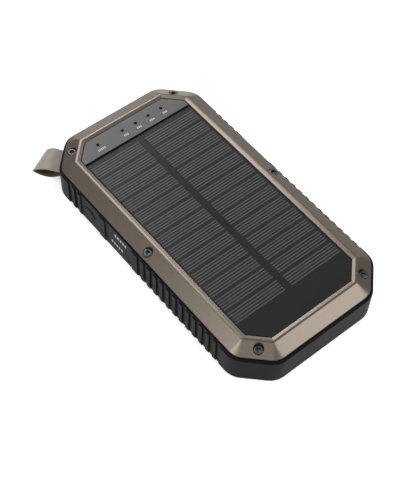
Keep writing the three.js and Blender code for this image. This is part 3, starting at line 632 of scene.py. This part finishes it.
def add_laminate():
    outline = window_outline(-PANEL_GAP, -FAR_PAST, PANEL_HIGH.y - SEAM_EASE)
    laminate = slab("panel_face", outline, PANEL_LOW.z, PANEL_TOP, FILM)
    for node in ("solar_cells_left", "solar_cells_right"):
        low, high = box_mm(node)
        gap = CELL_POCKET_GAP
        carve(laminate, box_tool(low.x - gap, high.x + gap, low.y - gap, high.y + gap, low.z - 0.02, 40))
    finish_piece(laminate, "housing", ["panel_laminate"])


LINE = {
    "from_far_edge": 3.08, "groups": 13, "group_pitch": 8.556, "per_group": 5, "pitch": 1.46, "width": 0.6,
}
LINE_MARGIN = 0.1
LINE_SUNK = 0.05
LINE_PROUD = 0.015


def add_cells(node):
    """A sheet of dark cells with thin collector lines standing a hair above it."""
    low, high = box_mm(node)
    vertices, faces, kinds = [], [], []

    def block(x0, x1, y0, y1, z0, z1, kind):
        first = len(vertices)
        vertices.extend([(x, y, z) for z in (z0, z1) for x, y in ((x0, y0), (x1, y0), (x1, y1), (x0, y1))])
        sides = [(3, 2, 1, 0), (4, 5, 6, 7), (0, 1, 5, 4), (1, 2, 6, 5), (2, 3, 7, 6), (3, 0, 4, 7)]
        faces.extend(tuple(first + i for i in side) for side in sides)
        kinds.extend([kind] * len(sides))

    block(low.x, high.x, low.y, high.y, low.z, high.z, 0)
    for group in range(LINE["groups"]):
        for line in range(LINE["per_group"]):
            y = PANEL_HIGH.y - LINE["from_far_edge"] - group * LINE["group_pitch"] - line * LINE["pitch"]
            block(low.x + LINE_MARGIN, high.x - LINE_MARGIN, y - LINE["width"] / 2, y + LINE["width"] / 2,
                  high.z - LINE_SUNK, high.z + LINE_PROUD, 1)
    sheet = make_piece(f"{node}_face", vertices, faces, CELLS, FINGERS)
    sheet.data.polygons.foreach_set("material_index", kinds)
    finish_piece(sheet, "housing", [node])


LIGHT_HOLE = {"radius": 0.85, "rim": 0.95, "bevel": 0.08, "sides": 24}


def light_spots():
    nodes = sorted(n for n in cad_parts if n.startswith("light_guide_"))
    return [((low.x + high.x) / 2, (low.y + high.y) / 2) for low, high in map(box_mm, nodes)]


def add_plate():
    outline = window_outline(-PANEL_GAP, PLATE_LOW.y + SEAM_EASE, FAR_PAST)
    plate = slab("indicator_face", outline, PLATE_LOW.z, PLATE_HIGH.z, PLATE)
    bore, rim = (circle(LIGHT_HOLE[size], LIGHT_HOLE["sides"]) for size in ("radius", "rim"))
    top = PLATE_HIGH.z
    hole = [(bore, PLATE_LOW.z - PAST), (bore, top - LIGHT_HOLE["bevel"]), (rim, top + 0.05)]
    for x, y in light_spots():
        carve(plate, layered("tool", hole, along_z(x, y)))
    plate.data.materials.append(SMOKED_AND_PAINTED_SHADE)  # painted shade: the upright faces, the seam's wall and the holes' walls, take the dark smoked material
    for face in plate.data.polygons:
        if abs(face.normal.z) < 0.3:
            face.material_index = 1
    finish_piece(plate, "housing", ["indicator_plate"])


def print_marks(name, marks, place, thickness=0.02):
    """Raised ink: (across, up, width, height) rounded bars, joined as one piece."""
    vertices, faces = [], []
    for across, up, width, height in marks:
        outline = rounded_rect(width, height, min(width, height) * 0.3, 3)
        rings = [[place(across + a, up + b, depth) for a, b in outline] for depth in (-0.05, thickness)]
        more, sides = joined_rings(rings, closed=False)
        faces += [tuple(i + len(vertices) for i in side) for side in sides]
        vertices += more
    ink = make_piece(name, vertices, faces, PRINT)
    finish_piece(ink, "housing")
    return ink


LIGHT_MARK = {"pitch": 0.95, "below": 3.3, "width": 0.55, "height": 1.15}
SIDE_MARK = {"width": 0.95, "height": 2.1}


def add_labels():
    """Plain bars in place of words beside each light."""
    marks = []
    spots = light_spots()
    for i, (x, y) in enumerate(spots):
        bars = 5 if i == len(spots) - 1 else 3
        for bar in range(bars):
            across = x + (bar - (bars - 1) / 2) * LIGHT_MARK["pitch"]
            marks.append((across, y - LIGHT_MARK["below"], LIGHT_MARK["width"], LIGHT_MARK["height"]))
    print_marks("indicator_marks", marks, lambda a, b, depth: (a, b, PLATE_HIGH.z + depth))


def add_side_marks():
    """Two rows of plain bars in the left label window."""
    rows = [(20.0, 12.9, 5, 1.95), (22.9, 5.9, 5, 1.9)]  # (first bar's y, height, bars, pitch)
    marks = []
    for start, up, count, pitch in rows:
        for i in range(count):
            marks.append((start - i * pitch, up, SIDE_MARK["width"], SIDE_MARK["height"]))
    wall = BOOT_LOW.x + LABEL_WINDOW["depth"]
    print_marks("side_marks", marks, lambda a, b, depth: (wall - depth, a, b))


add_laminate()
add_cells("solar_cells_left")
add_cells("solar_cells_right")
add_plate()
add_labels()
add_side_marks()


# ---------------------------------------------------------------- button
def add_button():
    middle = (BUTTON_LOW + BUTTON_HIGH) / 2
    length = BUTTON_HIGH.y - BUTTON_LOW.y - BUTTON_FLANGE[0]
    height = BUTTON_HIGH.z - BUTTON_LOW.z - BUTTON_FLANGE[1]
    face = BUTTON_LOW.x
    back = BUTTON_HIGH.x

    def outline(inset):
        return rounded_rect(length - 2 * inset, height - 2 * inset, height / 2 - inset - 0.01, 10)

    flange = rounded_rect(length + BUTTON_FLANGE[0], height + BUTTON_FLANGE[1], 1.5, 10)
    crown = [(1.5, 0), (0.75, 0.04), (0.32, 0.18), (0.08, 0.42), (0, 0.75)]  # (inset, depth from the face)
    rings = [(outline(inset), face + depth) for inset, depth in crown]
    rings += [(outline(0), back - 0.85), (flange, back - 0.85), (flange, back)]
    button = layered("button_cap", rings, along_x(middle.y, middle.z), RUBBER)
    finish_piece(button, "button", ["power_button"])


add_button()


# ---------------------------------------------------------------- port cover
USB_LOW, USB_HIGH = box_mm("usb_a_socket_1")
COVER_PLUG = {"spots": (-12.5, 4.5), "width": 10.6, "height": 1.9, "z": (USB_LOW.z + USB_HIGH.z) / 2 - 1.15}
COVER_BACK = BOOT_HIGH.y - 1.95


def add_cover():
    def panel(name, low, high, body, node):
        width, height = high.x - low.x, high.z - low.z
        back, face = COVER_BACK, high.y
        edges = [(0.15, back), (0, back + 0.15), (0, face - 0.4), (0.12, face - 0.12), (0.4, face)]
        rings = [(rounded_rect(width - 2 * inset, height - 2 * inset, 1.2 - inset), depth)
                 for inset, depth in edges]
        piece = layered(name, rings, along_y((low.x + high.x) / 2, (low.z + high.z) / 2), RUBBER)
        if node == "port_cover":
            plug = rounded_rect(COVER_PLUG["width"], COVER_PLUG["height"], 0.4)
            for x in COVER_PLUG["spots"]:
                tool = layered("tool", [(plug, COVER_LOW.y), (plug, back + 0.5)], along_y(x, COVER_PLUG["z"]))
                boolean(piece, tool, "UNION")
        finish_piece(piece, body, [node])

    panel("cover_flap", COVER_LOW, COVER_HIGH, "cover", "port_cover")
    panel("cover_anchor", ANCHOR_LOW, ANCHOR_HIGH, "housing", "port_cover_anchor")


add_cover()


WEB = {"overlap": 0.6, "back": 0.95, "front": 0.45, "inset": 1}


def add_web():
    """The thin rubber hinge moulded between the cover and its anchor."""
    x0, x1 = COVER_HIGH.x - WEB["overlap"], ANCHOR_LOW.x + WEB["overlap"]
    y0, y1 = BOOT_HIGH.y - WEB["back"], BOOT_HIGH.y - WEB["front"]
    z0, z1 = COVER_LOW.z + WEB["inset"], COVER_HIGH.z - WEB["inset"]
    steps = 12
    rings = []
    for i in range(steps + 1):
        x = x0 + (x1 - x0) * i / steps
        rings.append([(x, y0, z0), (x, y1, z0), (x, y1, z1), (x, y0, z1)])
    web = make_piece("cover_web", *joined_rings(rings, closed=False), RUBBER)
    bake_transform(web)


add_web()


# ---------------------------------------------------------------- strap
RIBBON_THICKNESS = 0.75
RIBBON_SKEW = 0.024
RIBBON_HEM = 0.22
RIBBON_LANES = 16
SKEW_FROM = 3.5
SKEW_SPAN = 14
LOOP_POINTS = [
    (0, 1.3), (2, 1.15), (4, 0.85), (7, 1.35), (10, 2.05), (13, 1.95), (15.8, 1.2), (17.3, 0.15),
    (16.6, -0.8), (14, -2.6), (11, -3.45), (8, -3.4), (5, -2.3), (3, -1.5), (0, -1.3),
    (-0.92, -0.92), (-1.3, 0), (-0.92, 0.92),
]  # the middle of the ribbon, out from the pin and up


def loop_line(points, steps=8):
    """A smooth closed line through the points (Catmull-Rom)."""
    line = []
    count = len(points)
    for i in range(count):
        a, b, c, d = (Vector(points[(i + k) % count]) for k in (-1, 0, 1, 2))
        for step in range(steps):
            t = step / steps
            line.append(0.5 * (2 * b + (c - a) * t + (2 * a - 5 * b + 4 * c - d) * t ** 2
                               + (3 * b - a - 3 * c + d) * t ** 3))
    return line


def beside(line, distance):
    """The closed line moved square to itself."""
    moved = []
    for i, point in enumerate(line):
        ahead = (line[(i + 1) % len(line)] - line[i - 1]).normalized()
        moved.append(point + Vector((-ahead.y, ahead.x)) * distance)
    return moved


def add_strap():
    middle = loop_line(LOOP_POINTS)
    outer = beside(middle, RIBBON_THICKNESS / 2)
    inner = beside(middle, -RIBBON_THICKNESS / 2)
    count = len(middle)
    between_hems = STRAP_WIDTH - 2 * RIBBON_HEM
    stations = [RIBBON_HEM + between_hems * i / RIBBON_LANES for i in range(RIBBON_LANES + 1)]
    lanes = [(middle, 0.0)]
    lanes += [(outer, side) for side in stations]
    lanes += [(middle, STRAP_WIDTH)]
    lanes += [(inner, side) for side in reversed(stations)]
    vertices = []
    for line, side in lanes:
        for out, up in line:
            reach = min(max(out, SKEW_FROM), SKEW_SPAN) - SKEW_FROM
            out *= 1 - RIBBON_SKEW * side * reach / SKEW_SPAN
            vertices.append(corner_point(PIN_OUT + out, STRAP_ALONG - STRAP_WIDTH / 2 + side, PIN_Z + up))
    faces = []
    for lane in range(len(lanes)):
        after = (lane + 1) % len(lanes)
        for i in range(count):
            j = (i + 1) % count
            faces.append((lane * count + i, lane * count + j, after * count + j, after * count + i))
    strap = make_piece("strap_loop", vertices, faces, RIBBON, RIBBON_INSIDE_SHADE)
    inside = len(stations) + 1
    # painted shade: the faces on the loop's inner side take the dark material
    for face in strap.data.polygons:
        face.material_index = 1 if face.index // count >= inside else 0
    finish_piece(strap, "strap", ["strap"], sharp=60)


add_strap()


# ---------------------------------------------------------------- CAD nodes that stay
NODE_MATERIALS = {
    "lower_case": CASE, "case_seal": SEAL,
    "panel_gasket": FOAM, "panel_board": BACKING,
    "circuit_board": BOARD, "control_chip": CHIP, "inductor": CHIP, "tact_switch": CHIP,
    "capacitor_1": FOIL, "capacitor_2": FOIL,
    "usb_a_socket_1": STEEL, "usb_a_socket_2": STEEL, "usb_c_socket": STEEL,
    "battery_lower": FOIL, "battery_upper": FOIL, "battery_foam": FOAM,
    "battery_lead_red": WIRE_RED, "battery_lead_black": WIRE_BLACK,
    "panel_lead_red": WIRE_RED, "panel_lead_black": WIRE_BLACK,
    "switch_plunger": STEEL, "strap_pin": STEEL,
}
NODE_MATERIALS.update({n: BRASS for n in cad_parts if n.startswith("insert_")})
NODE_MATERIALS.update({n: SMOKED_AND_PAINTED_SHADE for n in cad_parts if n.startswith("light_guide_")})
NODE_MATERIALS.update({n: LED_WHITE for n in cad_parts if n.startswith("led_")})
for node, look in NODE_MATERIALS.items():
    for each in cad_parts[node].material_slots:
        each.material = look


# ---------------------------------------------------------------- floor and light
FLOOR_LEVEL = -0.05
FLOOR_GLOW = 0.42  # painted light: the floor glows round the part only, which washes out the part's shadow on it
GLOW_EDGE = (0.11, 0.2)  # metres from the part's middle where the glow starts to fade and is gone


def add_floor():
    size = 4000
    outline = [(-size, -size), (size, -size), (size, size), (-size, size)]
    vertices = [(x, y, FLOOR_LEVEL) for x, y in outline]
    paper = surface("paper", (0.9, 0.9, 0.9), 0.8, grain=(900, 0.05, 0.02), tone=(8, 0.01))
    nodes, links = paper.node_tree.nodes, paper.node_tree.links
    place = nodes.new("ShaderNodeTexCoord")
    away = nodes.new("ShaderNodeVectorMath")
    away.operation = "LENGTH"
    glow = nodes.new("ShaderNodeMapRange")
    glow.interpolation_type = "SMOOTHSTEP"
    for socket, value in zip(("From Min", "From Max", "To Min", "To Max"), (*GLOW_EDGE, FLOOR_GLOW, 0)):
        glow.inputs[socket].default_value = value
    links.new(place.outputs["Object"], away.inputs[0])
    links.new(away.outputs["Value"], glow.inputs["Value"])
    # painted light: emission on the floor, strongest round the part and fading out away from it
    links.new(glow.outputs["Result"], nodes["Principled BSDF"].inputs["Emission Strength"])
    nodes["Principled BSDF"].inputs["Emission Color"].default_value = (1, 1, 1, 1)
    floor = make_piece("floor", vertices, [(0, 1, 2, 3)], paper)


def add_softbox(name, direction, distance, width, height, radiance):
    """A soft light facing the middle of the part. radiance is how bright its face looks."""
    data = bpy.data.lights.new(name, "AREA")
    data.shape = "RECTANGLE"
    data.size, data.size_y = width, height
    data.energy = radiance * math.pi * width * height
    light = bpy.data.objects.new(name, data)
    place = Vector(direction).normalized() * distance
    light.location = place
    light.rotation_mode = "QUATERNION"
    light.rotation_quaternion = place.to_track_quat("Z", "Y")
    scene.collection.objects.link(light)


WORLD_LEVEL = 0.4
WORLD_SLANT = 0.24
WORLD_DARK_SIDE = (0.8, 0.6, 0)


def add_world():
    """An even white room, a little darker towards the far right."""
    world = bpy.data.worlds.new("studio")
    world.use_nodes = True
    nodes, links = world.node_tree.nodes, world.node_tree.links
    place = nodes.new("ShaderNodeTexCoord")
    side = nodes.new("ShaderNodeVectorMath")
    side.operation = "DOT_PRODUCT"
    side.inputs[1].default_value = WORLD_DARK_SIDE
    level = nodes.new("ShaderNodeMapRange")
    level.inputs["From Min"].default_value = -1
    level.inputs["To Min"].default_value = WORLD_LEVEL + WORLD_SLANT
    level.inputs["To Max"].default_value = WORLD_LEVEL - WORLD_SLANT
    links.new(place.outputs["Generated"], side.inputs[0])
    links.new(side.outputs["Value"], level.inputs["Value"])
    nodes["Background"].inputs["Color"].default_value = (1, 1, 1, 1)
    links.new(level.outputs["Result"], nodes["Background"].inputs["Strength"])
    scene.world = world


SOFTBOXES = [  # name, direction, (width, height) in metres, how bright its face looks
    ("key", (0.44, -0.52, 0.73), (0.5, 0.5), 5.5),
    ("left", (-0.62, 0.08, 0.78), (0.4, 0.4), 6.2),
    ("overhead", (0.07, 0.48, 0.87), (0.3, 0.28), 9.0),
    ("back", (0.27, 0.735, 0.62), (0.42, 0.2), 12.0),
    ("right", (0.66, 0.43, 0.62), (0.2, 0.2), 7.0),
    ("front", (-0.38, -0.45, 0.81), (0.5, 0.5), 1.0),
]


def add_light():
    add_world()
    for name, direction, size, radiance in SOFTBOXES:
        add_softbox(name, direction, 1.0, *size, radiance)


add_floor()
add_light()
scene.view_settings.view_transform = "Standard"
